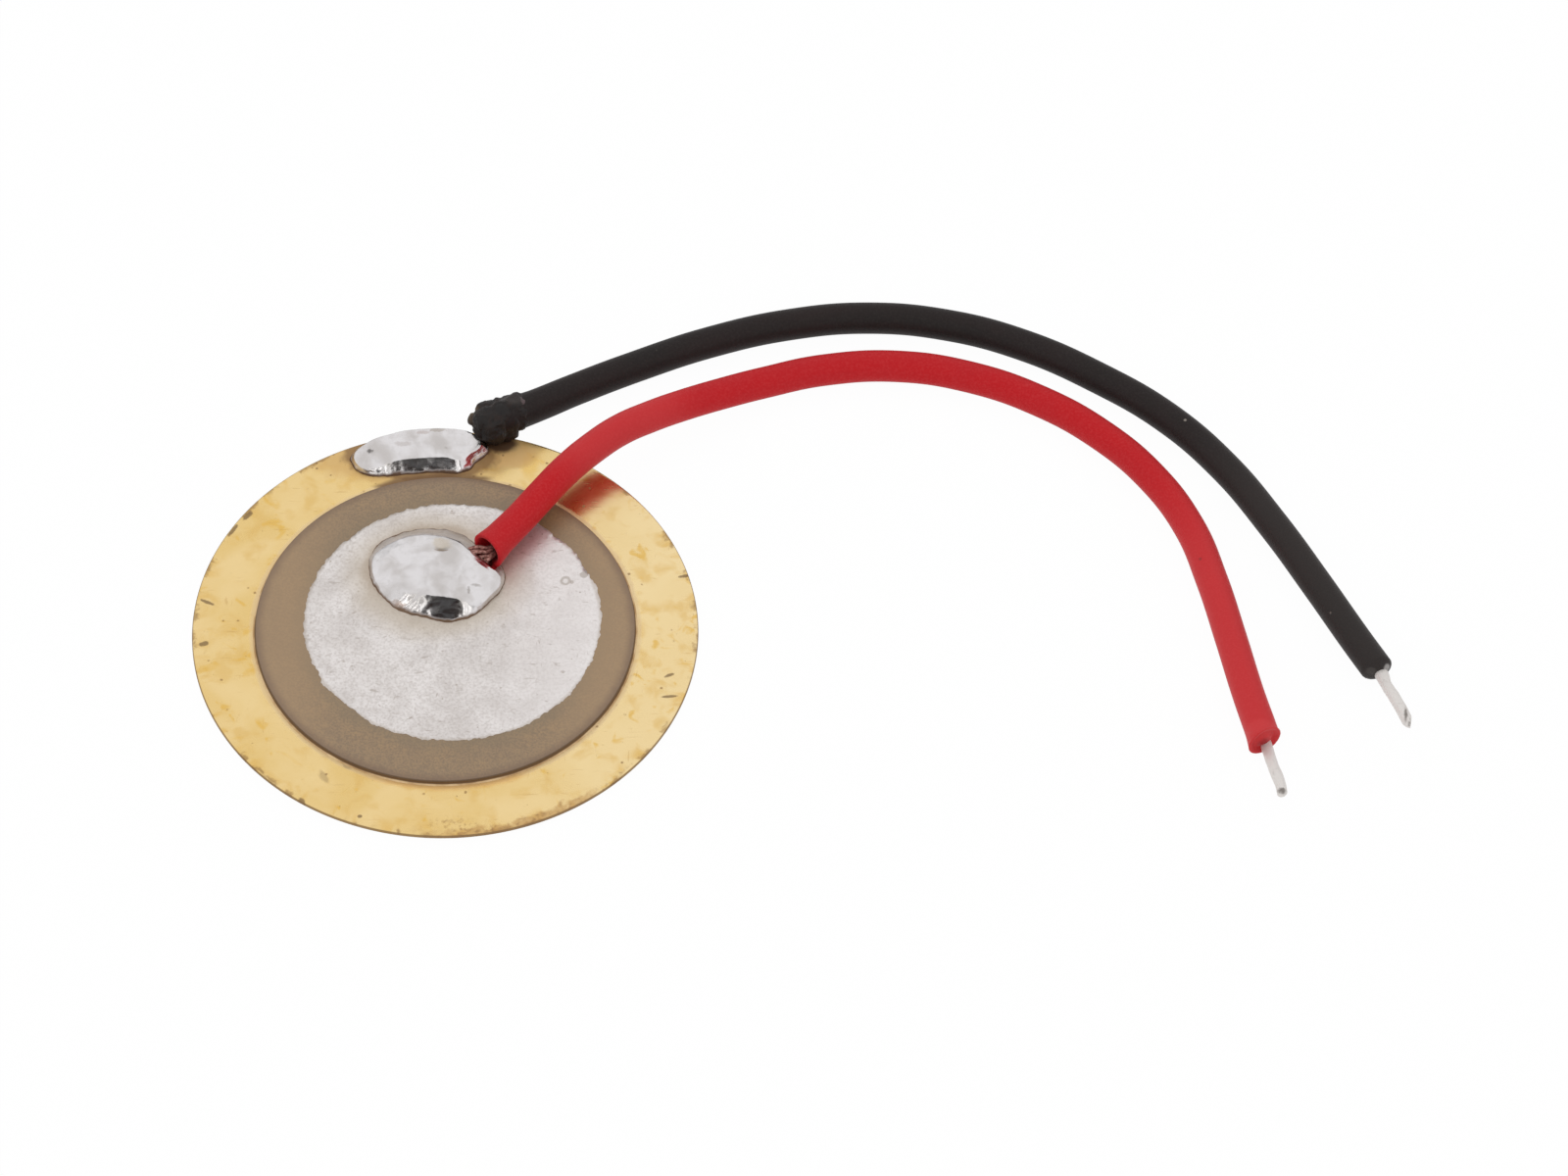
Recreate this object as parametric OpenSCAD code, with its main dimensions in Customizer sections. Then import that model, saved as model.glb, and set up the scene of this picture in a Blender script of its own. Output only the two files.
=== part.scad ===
// Piezo disc: a brass plate with a silvered ceramic disc bonded to it and two soldered leads.
// The origin is at the centre of the plate's underside, which lies on the bench, with +Z up.

/* [Brass plate] */
// Diameter of the brass plate
plate_d = 20; // [18:0.5:30]
// Thickness of the brass plate
plate_t = 0.2; // [0.1:0.05:0.5]

/* [Ceramic] */
// Diameter of the ceramic disc
ceramic_d = 15; // [13:0.5:16]
// Thickness of the ceramic disc
ceramic_t = 0.2; // [0.1:0.05:0.5]
// Thickness of the adhesive film under the ceramic
bond_t = 0.02; // [0.01:0.01:0.06]
// How far the squeezed-out adhesive stands beyond the ceramic
bond_bead = 0.1; // [0.04:0.02:0.2]

/* [Electrodes] */
// Diameter of the silver electrode on top of the ceramic
electrode_d = 11.75; // [10:0.25:13.5]
// Thickness of each silver electrode
electrode_t = 0.01; // [0.01:0.01:0.05]
// How far the upper electrode is printed off centre, to the right
electrode_x = 0.28; // [-0.5:0.02:0.5]
// How far the upper electrode is printed off centre, to the rear
electrode_y = 0.3; // [-0.5:0.02:0.5]

/* [Solder joints] */
// Length of the joint on the ceramic, from its rear left to its front right
centre_joint_l = 5.6; // [4.6:0.1:6.5]
// Width of the joint on the ceramic, from front to rear
centre_joint_w = 4.2; // [3.8:0.1:5]
// Height of the joint on the ceramic
centre_joint_h = 0.85; // [0.75:0.05:1.2]
// Length of the joint on the plate, along the rim
rim_joint_l = 5.4; // [4.8:0.1:7]
// Height of the joint on the plate
rim_joint_h = 0.95; // [0.8:0.05:1.2]
// Bare metal left between the joint on the plate and the plate's edge
rim_joint_margin = 0.05; // [0.05:0.05:0.5]
// How much the joints' outlines waver, as a share of their size
joint_waver = 0.03; // [0:0.01:0.05]

/* [Leads] */
// Outer diameter of the insulation
lead_d = 1.28; // [1:0.01:1.5]
// Diameter of the bundle of strands inside the insulation
strands_d = 0.38; // [0.26:0.02:0.4]
// Diameter of the tinned ends
tip_d = 0.42; // [0.42:0.02:0.6]
// Length of the red lead's tinned end
red_tip_l = 2.5; // [1:0.1:8]
// Length of the black lead's tinned end
black_tip_l = 2.75; // [1:0.05:8]
// How far the melted end of the black insulation bulges beyond the lead
melt_bulge = 0.23; // [0:0.01:0.3]

/* [Hidden] */
$fn = 120;

// Clearance between pieces that solder or insulation surrounds
fit_gap = 0.02;
// Sides of each lead's tube
tube_sides = 8;
// Sides and rings of a solder joint's skin
joint_sides = 40;
joint_rings = 7;
// How full a joint's profile is: 2 is a plain dome, and more is flatter on top and steeper at the foot
joint_fullness = 3.5;

plate_r = plate_d / 2;
ceramic_r = ceramic_d / 2;
lead_r = lead_d / 2;
strands_r = strands_d / 2;
bore_r = strands_r + fit_gap;

// The stack of layers, from the plate up
bond_z = plate_t;
lower_electrode_z = bond_z + bond_t;
ceramic_z = lower_electrode_z + electrode_t;
upper_electrode_z = ceramic_z + ceramic_t;
face_z = upper_electrode_z + electrode_t;

// The adhesive's bead climbs half of the ceramic's edge
bead_top = electrode_t + bond_t + ceramic_t / 2;

// The joint on the ceramic sits askew, behind the disc's centre. The one on the plate fills the bare rim.
centre_joint = [-0.45, 2.5, face_z];
centre_joint_turn = -25;
rim_joint_turn = 8.5;
rim_joint_inner_r = ceramic_r + bond_bead + 3 * fit_gap;
rim_joint_w = plate_r - rim_joint_margin - rim_joint_inner_r;
rim_joint_r = rim_joint_inner_r + rim_joint_w / 2;

// Each lead's points: the first ones give the height of the lead's underside above its seat, and the
// others lie on the bench. The red seat is the middle of the joint on the ceramic, and the black seat
// is the plate's rear edge. The bare strands run through the first points only.
red_bare = 2;
red_rise = [
    [0.5, -0.4, 0.2], [1.35, 0.05, 0.35], [2.07, 0.7, 0.2], [3.3, 2.25, 0.27], [4.2, 3.48, 0.34],
    [5.1, 4.65, 0.4], [6.1, 5.7, 0.45], [7.2, 6.65, 0.45], [8.4, 7.42, 0.35], [9.6, 8.15, 0.14],
    [11.1, 8.97, -0.14], [12.9, 9.75, -0.33]
];
red_bench = [
    [15.3, 10.52], [18.3, 10.76], [21.2, 10.25], [24, 9.07], [26.4, 7.42], [28.4, 5.33], [29.9, 2.8],
    [30.77, 0.13], [31.47, -2.71], [32.1, -5.4], [32.74, -7.72]
];
red_tip_way = [0.23, -0.97, -0.06];
black_seat = [0, plate_r, plate_t];
black_bare = 2;
black_rise = [
    [-0.7, -1.2, 0.1], [0.3, -0.9, 0.2], [1, -0.6, 0.15], [1.5, -0.3, 0.03], [2, 0, 0.03],
    [2.6, 0.4, 0.03], [3.3, 0.8, 0.03], [4.8, 1.7, -0.05], [7.2, 3, -0.15]
];
black_bench = [
    [10.2, 4.36], [13.4, 5.33], [16.6, 5.73], [19.8, 5.42], [22.9, 4.43], [25.9, 2.8], [28.58, 0.86],
    [30.88, -1.63], [32.82, -4.58], [34.52, -7.58], [36, -10.3], [36.8, -11.7]
];
black_tip_way = [0.38, -0.92, -0.06];
// How much of the bulge each ring of the melted end has, from its end inwards
melt_shape = [-0.9, 0.7, 1, 0.5, 0.15, 0.05];

// Radius of the lead at each of the first points
red_rise_r = [for (i = [0:len(red_rise) - 1]) i < red_bare ? strands_r : lead_r];
black_rise_r = [
    for (i = [0:len(black_rise) - 1])
        let (k = i - black_bare)
        k < 0 ? strands_r : lead_r + (k < len(melt_shape) ? melt_bulge * melt_shape[k] : 0)
];
red_path = lead_path(centre_joint, red_rise, red_rise_r, red_bench);
black_path = lead_path(black_seat, black_rise, black_rise_r, black_bench);
red_skin_r = concat(red_rise_r, [for (p = red_bench) lead_r]);
black_skin_r = concat(black_rise_r, [for (p = black_bench) lead_r]);

function unit(v) = v / norm(v);

function last(list) = list[len(list) - 1];

function flat(lists) = [for (list = lists) for (item = list) item];

// The first points stand on the seat, and the others lie on the bench
function lead_path(seat, rise, rise_r, bench) = concat(
    [for (i = [0:len(rise) - 1]) seat + rise[i] + [0, 0, rise_r[i]]],
    [for (p = bench) [seat.x + p.x, seat.y + p.y, lead_r]]
);

// The way a path runs at one of its points
function heading(path, i) = unit(path[min(i + 1, len(path) - 1)] - path[max(i - 1, 0)]);

// One ring of a tube, with a flat side below
function ring(centre, way, r) =
    let (side = unit(cross(way, [0, 0, 1])), up = cross(side, way), reach = r / cos(180 / tube_sides))
    [
        for (k = [0:tube_sides - 1])
            let (a = (k + 0.5) * 360 / tube_sides)
            centre + reach * (cos(a) * side + sin(a) * up)
    ];

function rings(path, radii, from = 0) =
    [for (i = [from:len(path) - 1]) ring(path[i], heading(path, i), radii[i])];

function same(path, r) = [for (p = path) r];

// Triangles of the wall that joins each ring of points to the next
function wall(count, sides, first = 0) = [
    for (i = [0:count - 2]) for (k = [0:sides - 1])
        let (a = first + i * sides + k, b = first + i * sides + (k + 1) % sides)
        each [[a, b, b + sides], [a, b + sides, a + sides]]
];

function reversed(faces) = [for (f = faces) [for (i = [len(f) - 1:-1:0]) f[i]]];

// Triangles of the ring-shaped end between an outer and an inner ring of points
function end_face(outer, inner) = [
    for (k = [0:tube_sides - 1])
        let (n = (k + 1) % tube_sides)
        each [[outer + k, inner + k, inner + n], [outer + k, inner + n, outer + n]]
];

// A solid rod through rings of points
module rod(skin) {
    count = len(skin);
    start_cap = [for (k = [0:tube_sides - 1]) tube_sides - 1 - k];
    end_cap = [for (k = [0:tube_sides - 1]) (count - 1) * tube_sides + k];
    polyhedron(flat(skin), concat(wall(count, tube_sides), [start_cap, end_cap]));
}

// A hollow tube between outer and inner rings of points
module tube(skin, bore) {
    count = len(skin);
    total = count * tube_sides;
    faces = concat(
        wall(count, tube_sides),
        reversed(wall(count, tube_sides, total)),
        end_face(0, total),
        reversed(end_face(total - tube_sides, 2 * total - tube_sides))
    );
    polyhedron(concat(flat(skin), flat(bore)), faces);
}

module insulation(path, radii, bare) {
    tube(rings(path, radii, bare), rings(path, same(path, bore_r), bare));
}

// The strands run a little way into the tinned end, which is a round pin
module conductor(path, way, tip_l) {
    aim = unit(way);
    route = concat(path, [last(path) + aim * tip_d]);
    rod(rings(route, same(route, strands_r)));
    translate(last(path))
        rotate([0, acos(aim.z), atan2(aim.y, aim.x)])
            cylinder(d = tip_d, h = tip_l);
}

// The room that a lead takes up in its solder joint
module lead_room(path, radii, bare, count) {
    short = [for (i = [0:count - 1]) path[i]];
    entry = concat([path[0] - heading(path, 0) * fit_gap], [for (i = [1:count - 1]) path[i]]);
    rod(rings(entry, same(entry, bore_r)));
    rod(rings(short, [for (r = radii) r + fit_gap], bare));
}

// A point on the skin of a solder joint: a is the way round, and out is the share of the way outwards
function joint_point(l, w, h, a, out) =
    let (reach = out * (1 + joint_waver * (sin(3 * a + 40) + 0.6 * cos(5 * a))))
    [l / 2 * reach * cos(a), w / 2 * reach * sin(a), h * (1 - pow(out, joint_fullness))];

function joint_skin(l, w, h) = [
    [0, 0, h],
    for (j = [1:joint_rings]) for (k = [0:joint_sides - 1])
        joint_point(l, w, h, -k * 360 / joint_sides, sin(90 * j / joint_rings))
];

// Bends a point of a straight joint along a circle round the disc's centre
function bent(p, r) = let (a = p.x / r * 180 / PI) [(r + p.y) * sin(a), (r + p.y) * cos(a), p.z];

module joint_solid(skin) {
    foot = 1 + (joint_rings - 1) * joint_sides;
    top = [for (k = [0:joint_sides - 1]) [0, 1 + k, 1 + (k + 1) % joint_sides]];
    base = [for (k = [0:joint_sides - 1]) foot + joint_sides - 1 - k];
    polyhedron(skin, concat(top, reversed(wall(joint_rings, joint_sides, 1)), [base]));
}

module brass_plate() {
    color("goldenrod") cylinder(d = plate_d, h = plate_t);
}

// The film of adhesive, with the bead squeezed out round the ceramic
module epoxy_bond() {
    edge = ceramic_r + fit_gap / 2;
    color("wheat") translate([0, 0, bond_z]) rotate_extrude()
        polygon([[0, 0], [ceramic_r + bond_bead, 0], [edge, bead_top], [edge, bond_t], [0, bond_t]]);
}

module lower_electrode() {
    color("silver") translate([0, 0, lower_electrode_z]) cylinder(d = ceramic_d, h = electrode_t);
}

module ceramic_disc() {
    color("tan") translate([0, 0, ceramic_z]) cylinder(d = ceramic_d, h = ceramic_t);
}

module upper_electrode() {
    color("gainsboro") translate([electrode_x, electrode_y, upper_electrode_z])
        cylinder(d = electrode_d, h = electrode_t);
}

module centre_solder() {
    color("silver") difference() {
        translate(centre_joint) rotate([0, 0, centre_joint_turn])
            joint_solid(joint_skin(centre_joint_l, centre_joint_w, centre_joint_h));
        lead_room(red_path, red_skin_r, red_bare, red_bare + 3);
    }
}

module rim_solder() {
    skin = [for (p = joint_skin(rim_joint_l, rim_joint_w, rim_joint_h)) bent(p, rim_joint_r)];
    color("silver") difference() {
        translate([0, 0, plate_t]) rotate([0, 0, rim_joint_turn]) joint_solid(skin);
        lead_room(black_path, black_skin_r, black_bare, black_bare + len(melt_shape));
    }
}

module red_insulation() {
    color("firebrick") insulation(red_path, red_skin_r, red_bare);
}

module red_conductor() {
    color("silver") conductor(red_path, red_tip_way, red_tip_l);
}

module black_insulation() {
    color([0.15, 0.14, 0.14]) insulation(black_path, black_skin_r, black_bare);
}

module black_conductor() {
    color("silver") conductor(black_path, black_tip_way, black_tip_l);
}

brass_plate();
epoxy_bond();
lower_electrode();
ceramic_disc();
upper_electrode();
centre_solder();
rim_solder();
red_insulation();
red_conductor();
black_insulation();
black_conductor();
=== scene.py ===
import bpy
from math import pi, radians
from mathutils import Matrix, Vector


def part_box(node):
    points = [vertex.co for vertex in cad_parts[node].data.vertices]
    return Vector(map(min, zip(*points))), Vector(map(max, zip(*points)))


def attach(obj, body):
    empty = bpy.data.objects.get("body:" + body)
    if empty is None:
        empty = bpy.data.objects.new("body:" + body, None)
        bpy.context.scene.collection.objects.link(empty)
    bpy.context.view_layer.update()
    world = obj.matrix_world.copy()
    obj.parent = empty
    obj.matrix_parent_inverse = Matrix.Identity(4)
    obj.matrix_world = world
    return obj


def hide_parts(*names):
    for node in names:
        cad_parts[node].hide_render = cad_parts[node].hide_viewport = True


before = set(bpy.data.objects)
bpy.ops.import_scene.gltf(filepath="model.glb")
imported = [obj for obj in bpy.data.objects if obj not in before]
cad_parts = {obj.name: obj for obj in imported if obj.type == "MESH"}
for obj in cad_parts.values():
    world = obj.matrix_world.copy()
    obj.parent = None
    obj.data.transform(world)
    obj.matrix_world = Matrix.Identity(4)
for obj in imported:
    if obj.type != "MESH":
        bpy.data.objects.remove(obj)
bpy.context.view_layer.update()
print("loaded the solids:", ", ".join(sorted(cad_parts)))

mm = 0.001  # pieces are shaped in millimetres, and brought to metres when they are done


# Reading the solids, in millimetres

def topOf(node):
    return round(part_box(node)[1].z / mm, 3)


def middleOf(node):
    low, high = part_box(node)
    return (low + high) / 2 / mm


# Working with the selection

def deselectAll():
    if bpy.context.mode != "OBJECT":
        bpy.ops.object.mode_set(mode="OBJECT")
    bpy.ops.object.select_all(action="DESELECT")


def takeUp(piece):  # makes a piece the one that the next operators work on
    deselectAll()
    piece.select_set(True)
    bpy.context.view_layer.objects.active = piece


def pick(piece, kind, test):  # goes into edit mode with only the faces or vertices that pass a test
    takeUp(piece)
    bpy.ops.object.mode_set(mode="EDIT")
    bpy.ops.mesh.select_mode(type=kind)
    bpy.ops.mesh.select_all(action="DESELECT")
    bpy.ops.object.mode_set(mode="OBJECT")
    for part in piece.data.polygons if kind == "FACE" else piece.data.vertices:
        part.select = test(part)
    bpy.ops.object.mode_set(mode="EDIT")


def newest(name):
    piece = bpy.context.object
    piece.name = piece.data.name = name
    return piece


def joined(name, pieces):  # the pieces become one
    deselectAll()
    for piece in pieces:
        piece.select_set(True)
    bpy.context.view_layer.objects.active = pieces[0]
    bpy.ops.object.join()
    return newest(name)


def pull(piece, spot, way, reach):  # draws the skin near a spot along, as in sculpting
    spot = Vector(spot)
    nearest = min(piece.data.vertices, key=lambda v: (v.co - spot).length).index
    pick(piece, "VERT", lambda v: v.index == nearest)
    bpy.ops.transform.translate(
        value=way, use_proportional_edit=True, proportional_edit_falloff="SMOOTH", proportional_size=reach
    )
    bpy.ops.object.mode_set(mode="OBJECT")


# Raises lumps all over the skin, or only at its foot if high is given
def lump(piece, size, depth, way="NORMAL", low=0, high=None):
    cloud = bpy.data.textures.new(piece.name + "Lumps", "CLOUDS")
    cloud.noise_scale = size
    cloud.noise_depth = 1
    push = piece.modifiers.new("lumps", "DISPLACE")
    push.texture, push.strength, push.direction, push.mid_level = cloud, depth, way, 0.5
    if high:
        foot = piece.vertex_groups.new(name="foot")
        for vertex in piece.data.vertices:
            foot.add([vertex.index], max(0, min(1, (high - vertex.co.z) / (high - low))), "REPLACE")
        push.vertex_group = "foot"
    takeUp(piece)
    bpy.ops.object.modifier_apply(modifier=push.name)
    piece.vertex_groups.clear()


def evenOut(piece, grain, softening=0):  # an even skin of small faces over everything in the piece
    takeUp(piece)
    skin = piece.modifiers.new("skin", "REMESH")
    skin.mode, skin.voxel_size, skin.use_smooth_shade = "VOXEL", grain, True
    bpy.ops.object.modifier_apply(modifier=skin.name)
    if softening:
        soft = piece.modifiers.new("soft", "SMOOTH")
        soft.factor, soft.iterations = 0.5, softening
        bpy.ops.object.modifier_apply(modifier=soft.name)


def settle(piece):  # the object goes to the origin, with its place in its mesh
    takeUp(piece)
    bpy.ops.object.transform_apply(location=True, rotation=True, scale=True)


def putIn(piece, finish, slot, *nodes):  # a finished piece takes its place in the part
    settle(piece)
    piece.scale = (mm, mm, mm)
    bpy.ops.object.transform_apply(location=False, rotation=False, scale=True)
    piece.data.materials.clear()
    piece.data.materials.append(finish.material)
    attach(piece, "root")
    if nodes:
        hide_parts(*nodes)
    print("made", piece.name, "with", len(piece.data.polygons), "faces")


# Finishes

def tint(red, green, blue):  # a colour as a screen shows it, from 0 to 255, for a shader
    return tuple(((part / 255 + 0.055) / 1.055) ** 2.4 for part in (red, green, blue)) + (1,)


class Reading:  # a value that a finish works out, so that sums can be written with it
    def __init__(self, finish, socket):
        self.finish, self.socket = finish, socket

    def maths(self, operation, first, second):
        return self.finish.node("ShaderNodeMath", {"operation": operation}, (first, second))

    def __add__(self, other):
        return self.maths("ADD", self, other)

    def __radd__(self, other):
        return self.maths("ADD", other, self)

    def __sub__(self, other):
        return self.maths("SUBTRACT", self, other)

    def __rsub__(self, other):
        return self.maths("SUBTRACT", other, self)

    def __mul__(self, other):
        return self.maths("MULTIPLY", self, other)

    def __rmul__(self, other):
        return self.maths("MULTIPLY", other, self)


class Finish:  # the nodes of one material, or of the world
    def __init__(self, name, owner=None):
        self.material = owner or bpy.data.materials.new(name)
        self.material.use_nodes = True
        self.nodes = self.material.node_tree.nodes
        self.links = self.material.node_tree.links
        self.shader = self.nodes.get("Principled BSDF")

    def node(self, kind, settings=None, values=(), output=0):
        made = self.nodes.new(kind)
        for name, value in (settings or {}).items():
            setattr(made, name, value)
        for socket, value in values.items() if isinstance(values, dict) else enumerate(values):
            self.join(value, made.inputs[socket])
        return Reading(self, made.outputs[output])

    def join(self, value, socket):
        if isinstance(value, Reading):
            self.links.new(value.socket, socket)
        else:
            socket.default_value = value

    def surface(self, **values):  # sockets of the shader, with its names run together
        for socket in self.shader.inputs:
            if socket.name.replace(" ", "") in values:
                self.join(values[socket.name.replace(" ", "")], socket)

    def place(self, stretch=(1, 1, 1)):  # where a point is, in millimetres, stretched for a grain
        spot = self.node("ShaderNodeTexCoord", output="Object")
        scale = tuple(1 / (mm * part) for part in stretch)
        return self.node("ShaderNodeVectorMath", {"operation": "MULTIPLY"}, (spot, scale))

    def along(self, stretch):  # where a point is on a lead: along it and round it
        spot = self.node("ShaderNodeTexCoord", output="UV")
        return self.node("ShaderNodeVectorMath", {"operation": "MULTIPLY"}, (spot, stretch))

    def grain(self, size, detail=2.0, warp=0.0, spot=None, roughness=0.5):
        values = {"Vector": spot or self.place(), "Scale": 1 / size, "Detail": detail}
        values.update({"Distortion": warp, "Roughness": roughness})
        return self.node("ShaderNodeTexNoise", values=values)

    def cells(self, size, spot=None, feature="F1"):
        values = {"Vector": spot or self.place(), "Scale": 1 / size}
        return self.node("ShaderNodeTexVoronoi", {"feature": feature}, values, "Distance")

    def fade(self, value, start, end):  # 0 at start and 1 at end, with a soft run between
        values = {"Value": value, "From Min": start, "From Max": end}
        return self.node("ShaderNodeMapRange", {"interpolation_type": "SMOOTHSTEP"}, values)

    def patches(self, grain, start, end):  # where a grain is strong
        return self.fade(self.grain(*grain), start, end)

    def away(self, middle, reach, wander=0.0):  # how far a point is from a spot, as a share of reach
        spot = self.place()
        shift = self.node("ShaderNodeVectorMath", {"operation": "SUBTRACT"}, (spot, middle))
        share = tuple(1 / part for part in reach)
        shift = self.node("ShaderNodeVectorMath", {"operation": "MULTIPLY"}, (shift, share))
        distance = self.node("ShaderNodeVectorMath", {"operation": "LENGTH"}, (shift,), "Value")
        if not wander:
            return distance
        return distance + wander * (self.grain(min(0.5, 1.5 * min(reach)), 3) - 0.5)

    def fromAxis(self, x=0, y=0, wander=0.0):  # millimetres from an upright axis
        return self.away((x, y, 0), (1, 1, 1000), wander)

    def spot(self, middle, reach, wander, start, end):  # a soft spot: 0 outside it and 1 in it
        return self.fade(self.away(middle, reach, wander), start, end)

    def coordinate(self, axis, spot=None):
        return self.node("ShaderNodeSeparateXYZ", values=(spot or self.place(),), output=axis)

    def larger(self, first, second):  # the larger of two values
        return self.node("ShaderNodeMath", {"operation": "MAXIMUM"}, (first, second))

    def ray(self, kind):  # 1 for what looks at the surface with one kind of ray
        return self.node("ShaderNodeLightPath", output="Is " + kind + " Ray")

    def blend(self, mask, first, second):
        values = {"Factor": mask, 6: first, 7: second}
        return self.node("ShaderNodeMix", {"data_type": "RGBA"}, values, 2)

    def wash(self, colour, *layers):  # lays colours over each other: strength, mask and colour
        for strength, mask, stain in layers:
            colour = self.blend(strength * mask, colour, stain)
        return colour

    def bump(self, height, depth):  # depth is in millimetres
        values = {"Height": height, "Distance": depth * mm, "Strength": 1.0}
        return self.node("ShaderNodeBump", values=values, output="Normal")

    def cover(self, mask, over):  # shows another shader where the mask is 1
        both = self.node("ShaderNodeMixShader", values=(mask,))
        self.links.new(self.shader.outputs[0], both.socket.node.inputs[1])
        self.links.new(over.socket, both.socket.node.inputs[2])
        self.links.new(both.socket, self.nodes["Material Output"].inputs["Surface"])


# Camera: it looks down at a spot on the bench between the disc and the leads

viewpoint = {
    "spot": (13.36, 2.478, 0),
    "distance": 400,
    "elevation": 52.853,
    "roll": 0.731,
    "lens": 231.47,
}

aim = Matrix.Rotation(radians(90 - viewpoint["elevation"]), 3, "X")
aim = aim @ Matrix.Rotation(radians(viewpoint["roll"]), 3, "Z")
stand = Vector(viewpoint["spot"]) + aim @ Vector((0, 0, viewpoint["distance"]))
bpy.ops.object.camera_add(location=stand * mm, rotation=aim.to_euler())
camera = newest("camera")
camera.data.lens = viewpoint["lens"]
camera.data.clip_start, camera.data.clip_end = 0.01, 20
bpy.context.scene.camera = camera
print("camera placed")


# Leads: each one's points are those of its solid

redLead = {
    "radius": 0.64,
    "seat": (-0.45, 2.5, topOf("upper_electrode")),
    "rise": (
        (2.07, 0.7, 0.2), (3.3, 2.25, 0.27), (4.2, 3.48, 0.34), (5.1, 4.65, 0.4), (6.1, 5.7, 0.45),
        (7.2, 6.65, 0.45), (8.4, 7.42, 0.35), (9.6, 8.15, 0.14), (11.1, 8.97, -0.14), (12.9, 9.75, -0.33),
    ),
    "bench": (
        (15.3, 10.52), (18.3, 10.76), (21.2, 10.25), (24, 9.07), (26.4, 7.42), (28.4, 5.33), (29.9, 2.8),
        (30.77, 0.13), (31.47, -2.71), (32.1, -5.4), (32.74, -7.72),
    ),
    "melt": (),
}

blackLead = {
    "radius": 0.64,
    "seat": (0, 10, topOf("brass_plate")),
    "rise": (
        (1, -0.6, 0.15), (1.5, -0.3, 0.03), (2, 0, 0.03), (2.6, 0.4, 0.03), (3.3, 0.8, 0.03),
        (4.8, 1.7, -0.05), (7.2, 3, -0.15),
    ),
    "bench": (
        (10.2, 4.36), (13.4, 5.33), (16.6, 5.73), (19.8, 5.42), (22.9, 4.43), (25.9, 2.8), (28.58, 0.86),
        (30.88, -1.63), (32.82, -4.58), (34.52, -7.58), (36, -10.3), (36.8, -11.7),
    ),
    "melt": (-0.21, 0.16, 0.23, 0.11, 0.03, 0.01),  # how far the melted end bulges at each point
}


def leadPoints(lead):  # the first points stand on the seat, and the others lie on the bench
    seat, points, radii = Vector(lead["seat"]), [], []
    for index, rise in enumerate(lead["rise"]):
        radius = lead["radius"] + (lead["melt"][index] if index < len(lead["melt"]) else 0)
        points.append(seat + Vector(rise) + Vector((0, 0, radius)))
        radii.append(radius)
    for x, y in lead["bench"]:
        points.append(Vector((seat.x + x, seat.y + y, lead["radius"])))
        radii.append(lead["radius"])
    return points, radii


def sweep(name, points, radii, sides=24, steps=10):  # a round tube along points, open at both ends
    deselectAll()
    bpy.ops.curve.primitive_bezier_curve_add()
    line = newest(name)
    spline = line.data.splines[0]
    spline.bezier_points.add(len(points) - 2)
    for knot, point, radius in zip(spline.bezier_points, points, radii):
        knot.co, knot.radius = point, radius
        knot.handle_left_type = knot.handle_right_type = "AUTO"
    line.data.dimensions = "3D"
    line.data.bevel_depth = 1
    line.data.bevel_resolution = (sides - 4) // 2
    line.data.resolution_u = steps
    settle(line)
    bpy.ops.object.convert(target="MESH")
    tube = newest(name)
    spots = [v.co for v in tube.data.vertices]
    middles = [sum(spots[i:i + sides], Vector()) / sides for i in range(0, len(spots), sides)]
    return tube, middles


def lengthOf(line):
    return sum((b - a).length for a, b in zip(line, line[1:]))


def rimOf(tube, spot, reach):  # the points of the open rim round a spot
    uses = {}
    for face in tube.data.polygons:
        for edge in face.edge_keys:
            uses[edge] = uses.get(edge, 0) + 1
    rim = {point for edge, count in uses.items() if count == 1 for point in edge}
    return {i for i in rim if (tube.data.vertices[i].co - spot).length < reach}


def carryOn(tube, spot, reach, way, steps):  # carries an open rim on, and closes it
    rim = rimOf(tube, spot, reach)
    middle = sum((tube.data.vertices[i].co for i in rim), Vector()) / len(rim)
    size = max((tube.data.vertices[i].co - middle).length for i in rim)
    pick(tube, "VERT", lambda v: v.index in rim)
    for forward, newSize in steps:  # how far each step goes, and the size of its rim
        middle = middle + way * forward
        bpy.ops.mesh.extrude_region_move(TRANSFORM_OT_translate={"value": way * forward})
        share = newSize / size
        bpy.ops.transform.resize(value=(share, share, share), center_override=middle)
        size = newSize
    bpy.ops.mesh.edge_face_add()
    bpy.ops.object.mode_set(mode="OBJECT")


def cutAcross(piece, spot, way, reach=3, fill=False):  # takes off what lies beyond a slanting cut
    pick(piece, "VERT", lambda v: (v.co - spot).length < reach)
    bpy.ops.mesh.bisect(plane_co=spot, plane_no=way, clear_outer=True, use_fill=fill)
    bpy.ops.object.mode_set(mode="OBJECT")


def roundOver(piece, angle):  # smooth shading, apart from edges sharper than the angle
    takeUp(piece)
    bpy.ops.object.shade_smooth_by_angle(angle=radians(angle))


# Red lead: its end at the joint is cut aslant and open, and its stripped end is flared into a cup

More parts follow.
